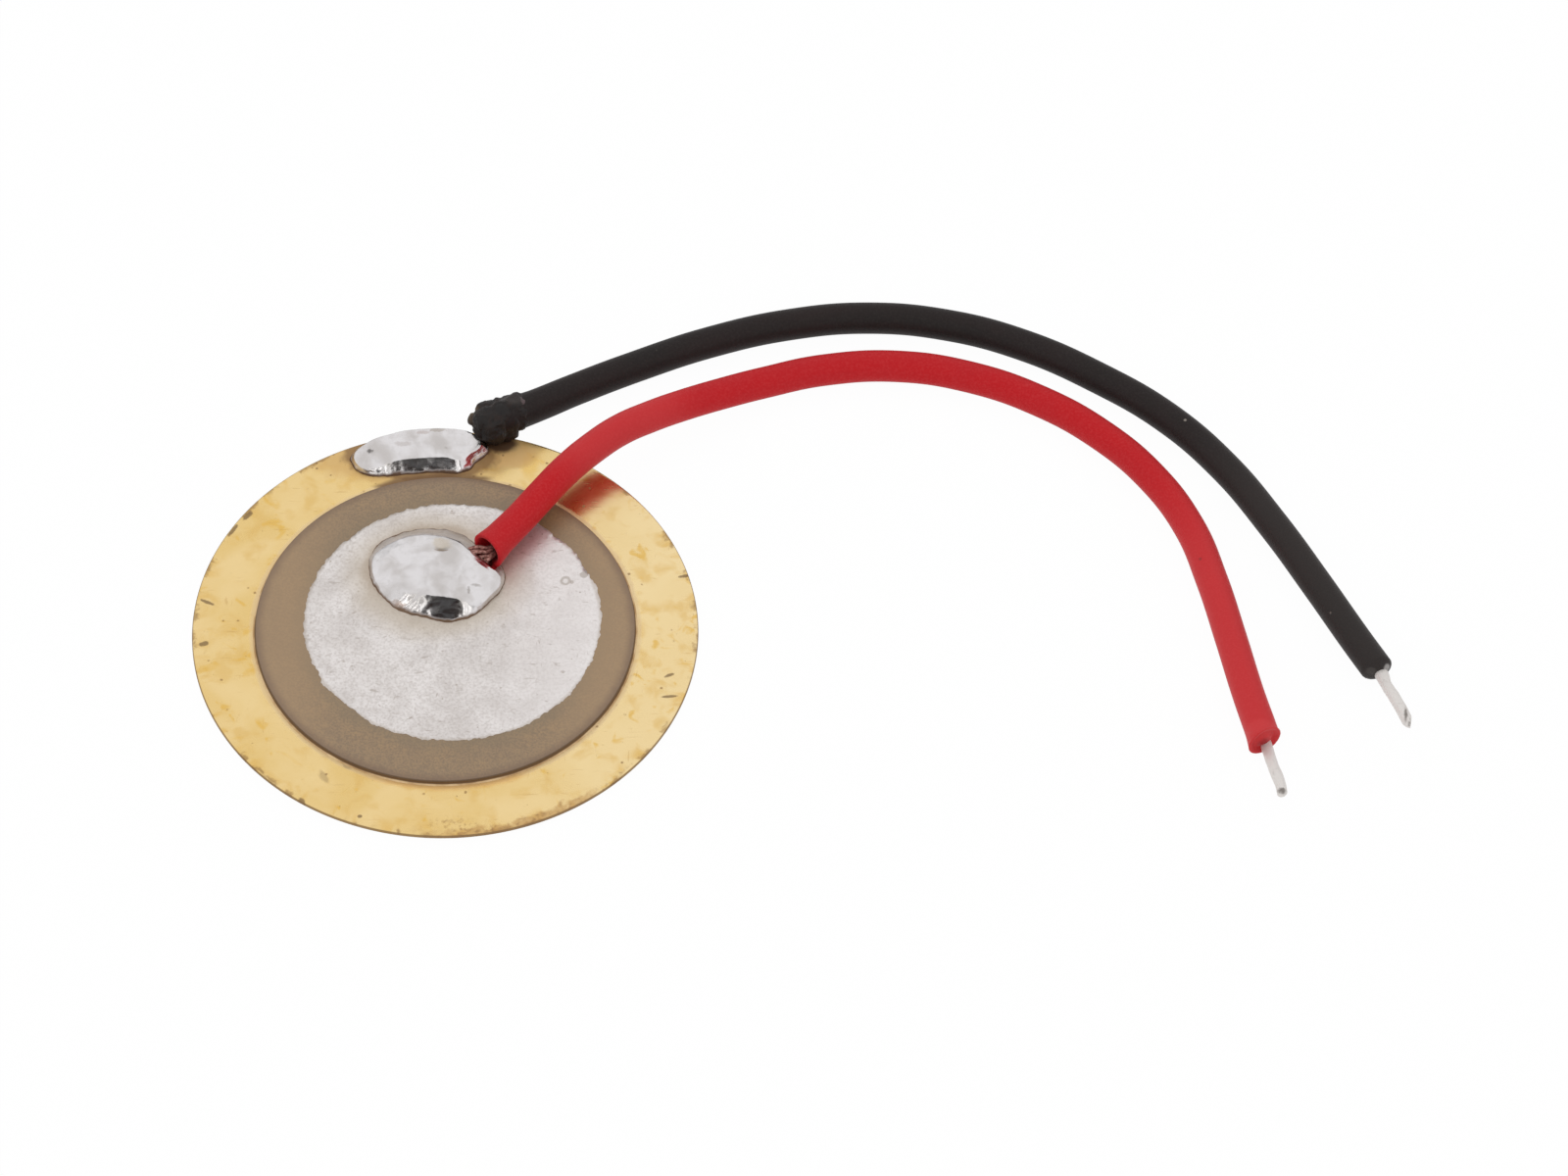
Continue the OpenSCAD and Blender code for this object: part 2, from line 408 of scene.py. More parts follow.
redEnds = {
    "jointCut": (-0.7, -0.71, 0.06),  # which way the cut faces
    "jointCutSpot": (1.6, 3.18, 1.3),
    "overlap": 0.7,  # how far the tube runs on past its first point before it is cut
    "flare": (0.76, 0.76, 0.67),  # radii at the first points
    "jointRim": ((0.02, 0.7), (-0.03, 0.62), (-0.12, 0.56), (-0.35, 0.5), (-0.8, 0.4), (-0.4, 0.1)),
    "jointReach": 1.5,
    "collar": (0.4, 0.65),  # length and radius of the stretch behind the mouth
    "mouth": 0.7,
    "shift": (-0.07, 0, 0.14),  # how the mouth is lifted off the lead's route
    "spare": 0.4,  # what the slanting cut takes off the stripped end
    "tipCut": (0.5, -0.86, 0.05),
    "cup": (
        (0.05, 0.74), (0.03, 0.7), (0, 0.62), (-0.1, 0.52), (-0.02, 0.44), (0.03, 0.36), (0.06, 0.28),
        (0.04, 0.2),
    ),
    "cupReach": 1.2,
    "steps": 10,  # rings from point to point
}

redPoints, redRadii = leadPoints(redLead)
redStart = (redPoints[0] - redPoints[1]).normalized()
redPoints.insert(1, redPoints[0] - redStart * redEnds["overlap"])
redPoints.insert(0, redPoints[0] + redStart * redEnds["overlap"])
redRadii = list(redEnds["flare"]) + redRadii[1:]
redWay = (redPoints[-1] - redPoints[-2]).normalized()
length, radius = redEnds["collar"]
redPoints.insert(-1, redPoints[-1] - redWay * length)
redRadii.insert(-1, radius)
redRadii[-1] = redEnds["mouth"]
redPoints[-1] += Vector(redEnds["shift"])
redPoints[-2] += Vector(redEnds["shift"]) / 2
redMouth = redPoints[-1].copy()
redPoints[-1] += redWay * redEnds["spare"]
red, redLine = sweep("redInsulation", redPoints, redRadii, steps=redEnds["steps"])
redLine = redLine[redEnds["steps"]:]  # without the part that is cut off
jointCutSpot = Vector(redEnds["jointCutSpot"])
cutAcross(red, jointCutSpot, Vector(redEnds["jointCut"]).normalized())
carryOn(red, jointCutSpot, redEnds["jointReach"], redStart, redEnds["jointRim"])
tipCut = Vector(redEnds["tipCut"]).normalized()
cutAcross(red, redMouth, tipCut)
carryOn(red, redMouth, redEnds["cupReach"], tipCut, redEnds["cup"])
roundOver(red, angle=70)


# Black lead: its stripped end is cut square, and its other end is in the melted lumps

blackEnds = {
    "core": (0.3, 0.55, 0.68, 0.7),  # radii inside the melted lumps
    "coreEnd": ((0.05, 0.25), (0.02, 0.1)),
    "coreReach": 0.5,
    "tipCut": (0.36, -0.93, 0.02),
    "tipCutSpot": (36.73, -1.55, 0.64),
    "cap": ((0.05, 0.64), (0.07, 0.59), (0.07, 0.5), (0.05, 0.38), (0.03, 0.24)),
    "capReach": 1.2,
}

blackPoints, blackRadii = leadPoints(blackLead)
blackRadii[:4] = blackEnds["core"]
blackWay = (blackPoints[-1] - blackPoints[-2]).normalized()
black, blackLine = sweep("blackInsulation", blackPoints, blackRadii)
blackStart = (blackPoints[0] - blackPoints[1]).normalized()
carryOn(black, blackPoints[0], blackEnds["coreReach"], blackStart, blackEnds["coreEnd"])
tipCutSpot = Vector(blackEnds["tipCutSpot"])
cutAcross(black, tipCutSpot, Vector(blackEnds["tipCut"]).normalized())
carryOn(black, tipCutSpot, blackEnds["capReach"], blackWay, blackEnds["cap"])
roundOver(black, angle=70)

meltedLumps = {
    "balls": (  # middle and radius of each lump
        ((1.62, 9.85, 1.0), 0.82), ((2.43, 10.39, 1.1), 0.7), ((0.9, 9.91, 1.1), 0.26),
        ((1.3, 10.29, 1.2), 0.4), ((1.62, 9.6, 0.55), 0.42), ((2.2, 9.72, 0.5), 0.38),
        ((2.02, 10.1, 1.1), 0.76), ((2.6, 10.12, 0.95), 0.45),
    ),
    "grain": 0.04,
    "crust": ((0.7, 0.3), (0.3, 0.1), (0.12, 0.03)),  # size and depth of the lumps
}

balls = []
for middle, radius in meltedLumps["balls"]:
    deselectAll()
    bpy.ops.mesh.primitive_ico_sphere_add(subdivisions=4, radius=radius, location=middle)
    balls.append(newest("meltedInsulation"))
    settle(balls[-1])
melted = joined("meltedInsulation", balls)
evenOut(melted, meltedLumps["grain"], softening=3)
for size, depth in meltedLumps["crust"]:
    lump(melted, size, depth)
print("swept the leads")


# Strands and tinned ends

tips = {  # points and radii, and the spot and way of each slanting cut at the end
    "red": {
        "points": (
            (32.25, -4.6, 0.3), (32.34, -5.2, 0.32), (32.4, -5.5, 0.36), (32.57, -6.27, 0.47),
            (32.73, -6.8, 0.49), (32.86, -7.28, 0.48), (32.93, -7.8, 0.47),
        ),
        "radii": (0.2, 0.24, 0.235, 0.225, 0.24, 0.22, 0.2),
        "cuts": (((32.9, -7.62, 0.47), (0.2, -0.9, 0.35)),),
    },
    "black": {
        "points": (
            (36.5, -1.1, 0.5), (36.94, -1.82, 0.5), (37.09, -2.28, 0.52), (37.43, -3, 0.55),
            (37.83, -3.88, 0.5), (38.08, -4.6, 0.46),
        ),
        "radii": (0.2, 0.29, 0.225, 0.24, 0.235, 0.23),
        "cuts": (((37.87, -4.19, 0.46), (-0.35, -0.93, 0.1)), ((38.04, -4.1, 0.5), (1, -0.1, 0))),
    },
    "end": (0.01, 0.1),  # the share of the last stretch by which an end stands out, and its radius
    "endReach": 0.3,
    "grain": 0.03,
    "lumps": (0.4, 0.025),
}


def tinnedTip(name, tip):
    points = [Vector(p) for p in tip["points"]]
    rod = sweep(name, points, tip["radii"], sides=16, steps=8)[0]
    for spot, inner in ((points[0], points[1]), (points[-1], points[-2])):
        carryOn(rod, spot, tips["endReach"], spot - inner, (tips["end"],))
    for spot, way in tip["cuts"]:
        cutAcross(rod, Vector(spot), way, reach=1, fill=True)
    evenOut(rod, tips["grain"], softening=3)
    lump(rod, *tips["lumps"])
    roundOver(rod, angle=60)
    return rod


redTip = tinnedTip("redTip", tips["red"])
blackTip = tinnedTip("blackTip", tips["black"])

strands = {
    "thickness": 0.085,
    "routes": (  # each strand from inside the insulation to inside the joint
        ((2.1, 3.8, 1.3), (1.6, 3.3, 1.3), (1.25, 3.38, 1.25), (0.75, 3.4, 1.0)),
        ((2.1, 3.75, 1.2), (1.62, 3.18, 1.22), (1.25, 3.24, 1.18), (0.75, 3.3, 0.96)),
        ((2.1, 3.8, 1.15), (1.6, 3.25, 1.15), (1.2, 3.4, 1.12), (0.8, 3.55, 0.88)),
        ((2.15, 3.7, 1.1), (1.65, 3.05, 1.14), (1.35, 3.02, 1.1), (0.9, 2.9, 0.95)),
        ((2.15, 3.65, 1.05), (1.7, 2.95, 1.08), (1.45, 2.85, 1.04), (1.05, 2.7, 0.9)),
        ((2.1, 3.8, 1.25), (1.6, 3.12, 1.3), (1.28, 3.14, 1.26), (0.8, 3.2, 0.98)),
        ((2.1, 3.7, 0.95), (1.65, 3.0, 0.98), (1.35, 2.95, 0.96), (1.0, 2.8, 0.85)),
    ),
}

wires = []
for route in strands["routes"]:
    points = [Vector(p) for p in route]
    radii = [strands["thickness"]] * len(points)
    wires.append(sweep("jointStrands", points, radii, sides=8, steps=6)[0])
jointStrands = joined("jointStrands", wires)
roundOver(jointStrands, angle=60)
print("made the tips and strands")


# Solder joints: each is drawn as the outline of its foot and the edge of its crown, skinned and worked over

centreJoint = {
    "seat": topOf("upper_electrode"),
    "foot": (
        (-3.12, 3.1), (-2.88, 1.95), (-2.52, 1.4), (-1.97, 0.83), (-1.5, 0.62), (-1.15, 0.52), (-0.75, 0.42),
        (-0.45, 0.3), (0, 0.22), (0.75, 0.35), (0.9, 0.42), (1.08, 0.55), (1.3, 0.76), (1.85, 1.38),
        (2.28, 2.2), (2.2, 3), (1.03, 4.22), (0.39, 4.68), (-0.51, 4.88), (-1.48, 4.82), (-2.3, 4.45),
        (-2.9, 3.95),
    ),
    "crown": (  # opposite the points of the foot
        (-3.0, 2.9, 0.75), (-2.8, 2.08, 0.65), (-2.44, 1.54, 0.65), (-1.98, 1.1, 0.65), (-1.66, 0.88, 0.56),
        (-1.3, 0.98, 0.8), (-0.88, 1.08, 1.1), (-0.5, 1.05, 1.15), (0.01, 0.97, 1.17), (0.58, 0.88, 1.1),
        (0.84, 0.85, 0.96), (1.02, 0.8, 0.8), (1.25, 0.9, 0.72), (1.72, 1.32, 0.74), (2.15, 2.1, 0.85),
        (1.75, 2.5, 1.12), (0.84, 3.27, 1.2), (0.32, 3.76, 1.15), (-0.39, 4, 1.15), (-1.44, 3.99, 1.1),
        (-2.14, 3.77, 1), (-2.75, 3.4, 0.85),
    ),
    "peak": (-0.2, 2.4, 1.3),
    "rings": ((0.8, 0.45), (0.5, 0.15), (0.2, 0.04)),  # shares of the crown's size and of its drop
    "pulls": (  # spot, way and reach
        ((-0.2, 3.45, 1.25), (0, 0, -0.12), 0.45),
        ((-1.1, 2.3, 1.25), (0, 0, 0.04), 0.8),
    ),
    "lumps": ((0.9, 0.06), (0.35, 0.015)),  # size and depth
}

rimJoint = {
    "seat": topOf("brass_plate"),
    "foot": (
        (-4.06, 8.64), (-3.95, 8.15), (-3.62, 7.8), (-3.14, 7.64), (-2.75, 7.65), (-2.37, 7.7), (-1.39, 7.79),
        (-0.41, 7.88), (0.05, 7.86), (0.6, 7.93), (1.03, 8.42), (1.45, 8.87), (1.4, 9.35), (0.9, 9.7),
        (-0.17, 9.86), (-1.23, 9.82), (-2.4, 9.6), (-3.5, 9.2),
    ),
    "crown": (
        (-3.87, 8.4, 0.6), (-3.8, 8.12, 0.52), (-3.5, 7.88, 0.5), (-3.1, 7.84, 0.52), (-2.7, 7.98, 0.6),
        (-2.29, 8.12, 0.66), (-1.5, 8.25, 0.68), (-0.7, 8.33, 0.68), (-0.12, 8.32, 0.7), (0.34, 8.24, 0.63),
        (0.73, 8.55, 0.64), (1.16, 9.05, 0.64), (1.1, 9.3, 0.72), (0.76, 9.46, 0.84), (-0.17, 9.6, 0.92),
        (-1.23, 9.55, 0.92), (-2.4, 9.32, 0.9), (-3.37, 8.92, 0.78),
    ),
    "peak": (-1.1, 8.9, 0.92),
    "rings": ((0.8, 0.92), (0.5, 0.6), (0.2, 0.22)),
    "pulls": (
        ((-3.26, 8.55, 0.72), (0, 0, -0.08), 0.3),
        ((-1.8, 8.9, 0.88), (0, 0, -0.04), 0.7),
    ),
    "lumps": ((0.8, 0.04), (0.35, 0.012)),
}

casting = {
    "grain": 0.045,
    "skirt": 0.1,  # how far the foot is carried down before it is cut level with its seat
    "footLumps": ((0.4, "X"), (0.36, "Y")),  # size and way of the waves in the foot's outline
    "footDepth": 0.3,  # depth of the waves, as a share of their size
    "footBand": (0.05, 0.22),  # heights over the seat between which they fade
}


def drawLoop(name, points):  # a smooth closed line through points
    deselectAll()
    bpy.ops.curve.primitive_bezier_circle_add(radius=1)
    line = newest(name)
    spline = line.data.splines[0]
    spline.bezier_points.add(len(points) - 4)
    for knot, point in zip(spline.bezier_points, points):
        knot.co = point
        knot.handle_left_type = knot.handle_right_type = "AUTO"
    line.data.dimensions, line.data.resolution_u = "3D", 6
    bpy.ops.object.convert(target="MESH")
    return newest(name)


def castJoint(name, joint):  # walls from the foot to the crown, then rings in to the peak
    foot = drawLoop(name, [(x, y, joint["seat"]) for x, y in joint["foot"]])
    crown = drawLoop(name, joint["crown"])
    count = len(foot.data.vertices)
    cast = joined(name, (foot, crown))
    pick(cast, "VERT", lambda v: True)
    bpy.ops.mesh.bridge_edge_loops(number_cuts=3, interpolation="LINEAR")
    bpy.ops.object.mode_set(mode="OBJECT")
    pick(cast, "VERT", lambda v: count <= v.index < 2 * count)
    share, drop = 1, 1
    for newShare, newDrop in joint["rings"]:
        bpy.ops.mesh.extrude_region_move()
        sizes = (newShare / share, newShare / share, newDrop / drop)
        bpy.ops.transform.resize(value=sizes, center_override=joint["peak"])
        share, drop = newShare, newDrop
    bpy.ops.mesh.edge_face_add()
    bpy.ops.object.mode_set(mode="OBJECT")
    pick(cast, "VERT", lambda v: v.index < count)
    bpy.ops.mesh.extrude_region_move(TRANSFORM_OT_translate={"value": (0, 0, -casting["skirt"])})
    bpy.ops.mesh.edge_face_add()
    bpy.ops.mesh.select_all(action="SELECT")
    bpy.ops.mesh.normals_make_consistent(inside=False)
    bpy.ops.object.mode_set(mode="OBJECT")
    evenOut(cast, casting["grain"], softening=2)
    for spot, way, reach in joint["pulls"]:
        pull(cast, spot, way, reach)
    for size, depth in joint["lumps"]:
        lump(cast, size, depth)
    low, high = (joint["seat"] + height for height in casting["footBand"])
    for size, way in casting["footLumps"]:
        lump(cast, size, casting["footDepth"] * size, way, low, high)
    pick(cast, "VERT", lambda v: True)
    level = (0, 0, joint["seat"])
    bpy.ops.mesh.bisect(plane_co=level, plane_no=(0, 0, 1), use_fill=True, clear_inner=True)
    bpy.ops.object.mode_set(mode="OBJECT")
    roundOver(cast, angle=50)
    return cast


centreCast = castJoint("centreSolder", centreJoint)
rimCast = castJoint("rimSolder", rimJoint)
print("cast the solder joints")


# Plate, ceramic, adhesive and silver: thin round layers, whose sizes are those of their solids

layers = {  # radius and height of each ring; the last ring is closed
    "plate": (
        (9.93, 0), (9.98, 0.025), (10, 0.07), (10, 0.14), (9.985, 0.175), (9.95, 0.193), (9.9, 0.2),
        (9.5, 0.2), (7.7, 0.2),
    ),
    "ceramic": ((7.48, 0.23), (7.5, 0.25), (7.5, 0.4), (7.485, 0.42), (7.46, 0.43), (7.3, 0.43), (5.7, 0.43)),
    "silver": ((5.86, 0.43), (5.865, 0.435), (5.86, 0.44), (5.7, 0.44), (5, 0.44)),
    "bead": (
        (7.6, 0.2), (7.575, 0.207), (7.55, 0.22), (7.525, 0.25), (7.507, 0.29), (7.501, 0.33),
        (7.45, 0.33), (7.45, 0.222),
    ),
    "silverRagged": ((1.2, 0.2), (0.3, 0.16), (0.12, 0.08)),  # size and depth of the printed edge's wander
}


def turned(name, rings, middle, sides=240):  # a round layer, drawn out ring by ring
    deselectAll()
    size, height = rings[0]
    bpy.ops.mesh.primitive_circle_add(
        vertices=sides, radius=size, fill_type="NGON", location=(middle.x, middle.y, height)
    )
    piece = newest(name)
    settle(piece)
    pick(piece, "FACE", lambda f: True)
    for newSize, newHeight in rings[1:]:
        bpy.ops.mesh.extrude_region_move(TRANSFORM_OT_translate={"value": (0, 0, newHeight - height)})
        share = newSize / size
        bpy.ops.transform.resize(value=(share, share, 1), center_override=(middle.x, middle.y, newHeight))
        size, height = newSize, newHeight
    bpy.ops.mesh.select_all(action="SELECT")
    bpy.ops.mesh.normals_make_consistent(inside=False)
    bpy.ops.object.mode_set(mode="OBJECT")
    roundOver(piece, angle=50)
    return piece


centre = Vector((0, 0, 0))  # all but the silver stand on one axis
plate = turned("brassPlate", layers["plate"], centre)
ceramic = turned("ceramicDisc", layers["ceramic"], centre)
bead = turned("adhesiveBead", layers["bead"], centre)
silver = turned("upperElectrode", layers["silver"], middleOf("upper_electrode"), sides=600)
for size, depth in layers["silverRagged"]:
    lump(silver, size, depth, "X")
    lump(silver, size * 0.9, depth, "Y")
print("laid the layers")


# Brass: pale gold, with yellow blotches, brown flecks, stains round the joint and a brown cut edge

brass = {
    "marks": (  # place, length, width and turn of the marks that are not chance
        ((-8.04, 5.61), 0.3, 0.13, 55), ((-8.6, 4.85), 0.36, 0.09, 60), ((-5.34, -8.42), 0.2, 0.14, 120),
        ((9.42, 2.86), 0.26, 0.09, 15), ((-9.5, -0.8), 0.22, 0.12, 20), ((8.9, -2.05), 0.22, 0.08, 25),
        ((8.9, -3.1), 0.35, 0.07, 5), ((-3.06, -9.1), 0.1, 0.08, 0), ((-9.45, 1.25), 0.35, 0.08, -25),
    ),
    "spots": {  # middle, reach, wander, and the shares of the reach where it begins and is full
        "rightward": ((-10, 0, 0), (20, 100, 100), 0, 0.55, 0.9),
        # a painted glint: yellow streaks of reflection right of the rim joint
        "glints": ((3.15, 8.3, 0.2), (0.45, 0.8, 3), 1.2, 1.2, 0.4),
        "cleanRim": ((3.2, 9.4, 0.2), (1.6, 1, 3), 0, 0.9, 1.3),
        "stain": ((-1.6, 8.7, 0.2), (3.9, 1.4, 3), 0.5, 1.25, 0.8),
        "flux": ((-1.3, 8.72, 0.2), (2.95, 1.18, 3), 0.3, 1.12, 0.97),
        "seam": ((-1.2, 7.8, 0.2), (2.7, 0.9, 3), 0.3, 1.15, 0.9),
        "soot": ((1.9, 9.38, 0.2), (0.8, 0.45, 3), 0.5, 1.3, 0.6),
        "burnt": ((2.4, 8.95, 0.2), (1.1, 0.8, 3), 0.5, 1.25, 0.6),
        "amber": ((0.5, -7.8, 0.2), (3.6, 1.6, 3), 0.4, 1.2, 0.7),
        "dirtyRim": ((3.4, -9.3, 0.2), (4.2, 2.2, 3), 0.5, 1.15, 0.6),
        "grit": ((0.6, -9.35, 0.2), (1.0, 0.35, 3), 0.6, 1.2, 0.6),
        "drops": ((-3.95, -7.0, 0.2), (0.75, 0.6, 3), 0.4, 1.15, 0.9),
    },
}


def brassFinish():
    look = Finish("rolledBrass")
    spots = {name: look.spot(*values) for name, values in brass["spots"].items()}
    cloud = look.grain(3.0, 3, 0.6)
    soft = look.grain(0.9, 3, 0.4)
    wobble = look.grain(0.14, 3)
    fromMiddle = look.fromAxis()
    blotch = look.patches((0.8, 4, 0.8), 0.58, 0.7) * look.fade(cloud, 0.42, 0.56)
    scratch = look.patches((0.2, 2, 0.6, look.place((5, 0.5, 1))), 0.66, 0.76)
    scratch = scratch + look.patches((0.2, 2, 0.6, look.place((0.6, 4, 1))), 0.69, 0.78)
    flecks = look.fade(look.cells(0.62) + 0.14 * wobble, 0.2, 0.13) * look.patches((1.1, 3), 0.5, 0.58)
    crumbs = look.fade(look.cells(0.23) + 0.3 * wobble, 0.3, 0.22) * look.patches((0.8, 2), 0.52, 0.66)

    # Wear and dirt that follow the rim; round the ceramic, a pale ring that is a painted reflection, and
    # amber adhesive

    radial = look.node("ShaderNodeTexGradient", {"gradient_type": "RADIAL"}, (look.place(),))
    outward = look.node("ShaderNodeCombineXYZ", values=(40 * radial, 0.25 * fromMiddle))
    rimWear = look.patches((0.5, 3, 0.5, outward), 0.52, 0.66) * look.fade(fromMiddle, 9.2, 9.9)
    rimDirt = look.fade(fromMiddle + 0.5 * look.grain(0.3, 4, 0.8), 10.02, 10.2)
    rimDirt = rimDirt * look.fade(soft, 0.5, 0.6) * spots["cleanRim"]
    dirtyRim = look.fade(fromMiddle + 0.9 * look.grain(0.35, 4, 0.2), 10.05, 10.3) * spots["dirtyRim"]
    grit = look.patches((0.2, 3), 0.46, 0.72) * (dirtyRim + spots["grit"])
    # a pale ring round the ceramic: a painted reflection
    pale = look.fade(fromMiddle - 0.15 * look.grain(0.5, 3), 7.74, 7.6)
    amber = look.fade(fromMiddle - 0.3 * look.grain(0.7, 3), 7.8, 7.5) * spots["amber"]
    side = look.fade(fromMiddle, 9.95, 9.985)

    # Stains of the soldering, dried drops, and the placed marks

    stain, flux, soot, burnt = (spots[name] for name in ("stain", "flux", "soot", "burnt"))
    stainFlecks = look.fade(look.cells(0.36) + 0.14 * wobble, 0.25, 0.17) * look.fade(stain, 0.1, 0.4)
    seam = look.fade(fromMiddle + 0.3 * soft, 8.1, 7.85) * spots["seam"]
    ovals = look.cells(1.25, look.place() + 0.8 * look.grain(1.2, 1), "DISTANCE_TO_EDGE")
    drops = look.fade(ovals, 0.09, 0.045) * spots["drops"]
    marks = 0
    for (x, y), length, width, turn in brass["marks"]:
        settings = {"Vector": look.place(), "Location": (x, y, 0.2), "Rotation": (0, 0, radians(turn))}
        settings["Scale"] = (length, width, 10)
        spot = look.node("ShaderNodeMapping", {"vector_type": "TEXTURE"}, settings)
        spread = look.node("ShaderNodeVectorMath", {"operation": "LENGTH"}, (spot,), "Value")
        marks = look.fade(spread + 0.9 * wobble, 1.6, 1.1) + marks

    colour = look.wash(
        look.blend(look.fade(cloud, 0.3, 0.7), tint(238, 210, 152), tint(231, 199, 132)),
        (0.6, spots["rightward"], tint(244, 222, 174)),
        (0.6, look.fade(soft, 0.5, 0.72), tint(224, 186, 112)),
        (0.75, blotch, tint(226, 182, 88)),
        (0.35, scratch, tint(190, 150, 88)),
        # painted glints
        (0.6, spots["glints"], tint(230, 188, 96)),
        # the painted pale reflection round the ceramic
        (0.6, pale, tint(232, 204, 158)),
        (0.6, amber, tint(220, 168, 92)),
        (0.5, rimWear, tint(222, 178, 92)),
        (0.6, stain, tint(206, 166, 108)),
        (0.7, burnt, tint(222, 180, 116)),
        (0.7, flecks, tint(146, 108, 62)),
        (0.35, crumbs, tint(170, 132, 76)),
        (0.65, stainFlecks, tint(134, 98, 60)),
        (0.6, rimDirt, tint(134, 96, 54)),
        (0.6, dirtyRim, tint(186, 140, 80)),
        (0.5, grit, tint(140, 100, 58)),
        (0.4, drops, tint(138, 112, 76)),
        (0.75, marks, tint(112, 84, 54)),
        (0.75, flux, tint(130, 94, 58)),
        (0.85, seam, tint(120, 88, 56)),
        (0.85, side, tint(134, 104, 70)),
        (0.95, soot, tint(62, 38, 22)),
    )
    dulling = (  # how much each kind of dirt, and the painted pale reflection, takes from the shine
        (0.6, flecks), (0.8, burnt), (0.5, stainFlecks), (0.5, rimDirt), (0.4, dirtyRim), (0.4, grit),
        (0.3, stain), (1, soot), (0.5, drops), (0.6, marks), (0.5, flux), (0.7, seam), (0.3, side),
        (0.6, pale),
    )
    dirtAndPaintedPale = look.fade(sum(strength * mask for strength, mask in dulling), 0.0, 1.1)
    look.surface(
        BaseColor=colour,
        Metallic=(1 - 0.75 * dirtAndPaintedPale) * (1 - soot),
        Roughness=0.22 + 0.08 * cloud + 0.03 * scratch + 0.3 * dirtAndPaintedPale + 0.15 * side,
        Normal=look.bump(0.8 * look.grain(2.2, 2) + 0.02 * scratch - 0.03 * flecks, 0.035),
    )
    return look


brassLook = brassFinish()


# Ceramic: fired, brown and a little mottled, with a dull shine, greener where the silver ends, and a side
# painted dark brown as painted shade

offCentre = (0.28, 0.3)  # where the silver is printed


def ceramicFinish():
    look = Finish("piezoCeramic")
    mottle = look.grain(1.1, 4, 0.4)
    fine = look.grain(0.06, 2)
    fromMiddle = look.fromAxis()
    specks = look.fade(look.cells(0.6), 0.08, 0.04) * look.patches((1.2, 2), 0.55, 0.6)
    rim = look.fade(fromMiddle - 0.2 * look.grain(0.4, 3), 6.95, 7.42)
    # the side, which takes a painted shade
    side = look.fade(fromMiddle, 7.47, 7.495)
    colour = look.wash(
        look.blend(look.fade(mottle, 0.35, 0.7), tint(148, 116, 72), tint(138, 109, 71)),
        (0.7, look.patches((0.08, 2), 0.3, 0.7), tint(108, 84, 52)),
        (0.45, look.fade(look.fromAxis(*offCentre, 0.6), 6.6, 6.0), tint(112, 92, 58)),
        (0.6, look.spot((0, 0, 0), (6.7, 100, 100), 0, 0.55, 0.95), tint(154, 121, 78)),
        (0.5, specks, tint(100, 82, 62)),
        (0.8, rim, tint(104, 72, 36)),
        # painted shade on the side
        (0.9, side, tint(88, 62, 34)),
    )
    look.surface(
        BaseColor=colour,
        Roughness=0.36 + 0.1 * mottle + 0.1 * fine + 0.3 * side,
        IOR=1.95,
        Normal=look.bump(fine, 0.003),
    )
    return look


ceramicLook = ceramicFinish()


# Silver: a printed and fired coat, off-white and satin, with scuffs, specks and a tan halo of flux

silverMarks = (  # place, reach, and the share of the reach that stays clean in the middle
    ((4.7, 2.37, 0.44), 0.22, 0.7),
    ((5.42, 2.68, 0.44), 0.16, 0),
    ((4.95, 2.3, 0.44), 0.08, 0),
)


def silverFinish():
    look = Finish("firedSilver")
    patchy = look.grain(1.5, 4, 0.5)
    fine = look.grain(0.1, 3)
    scuffs = look.patches((0.3, 3, 0.5, look.place((1.6, 0.6, 1))), 0.63, 0.75)
    scuffs = scuffs + look.patches((0.25, 3, 0.5, look.place((0.6, 1.6, 1))), 0.65, 0.76)
    specks = look.fade(look.cells(0.42), 0.12, 0.05) * look.patches((0.9, 3), 0.5, 0.6)
    rings = look.fade(look.cells(2.2), 0.16, 0.12) * look.patches((2.0, 1), 0.52, 0.6)
    fromJoint = look.away(redLead["seat"], (3.05, 2.65, 3)) + 0.2 * (look.grain(1.2, 2) - 0.5)
    near = look.fade(fromJoint, 1.04, 0.9) * look.spot((-1.6, 3.8, 0.44), (2.9, 2.5, 3), 0, 1.15, 0.75)
    halo = look.fade(fromJoint, 1.4, 0.85)
    marks = []
    for place, reach, hollow in silverMarks:
        distance = look.away(place, (reach, reach, 1), 0.5)
        mark = look.fade(distance, 1.15, 0.85) * look.fade(distance, hollow - 0.4, hollow)
        marks.append((0.55, mark, tint(160, 148, 136)))
    colour = look.wash(
        look.blend(look.fade(patchy, 0.35, 0.7), tint(232, 227, 225), tint(216, 210, 207)),
        (0.5, look.fade(fine, 0.35, 0.75), tint(182, 173, 167)),
        (0.5, look.spot((-6, 0, 0), (13, 100, 100), 0, 0.5, 0.9), tint(236, 231, 230)),
        (0.5, scuffs, tint(166, 154, 144)),
        (0.6, specks, tint(152, 136, 118)),
        (0.25, rings, tint(186, 182, 170)),
        (0.6, halo, tint(198, 184, 164)),
        *marks,
        (0.4, near, tint(166, 144, 120)),
        (0.4, look.fade(look.fromAxis(*offCentre, 0.1), 5.72, 5.86), tint(170, 154, 136)),
    )
    look.surface(
        BaseColor=colour,
        Metallic=0.85,
        Roughness=0.36 + 0.1 * patchy + 0.1 * halo,
        Normal=look.bump(look.grain(0.14, 3) + 0.5 * scuffs, 0.008),
    )
    return look


silverLook = silverFinish()


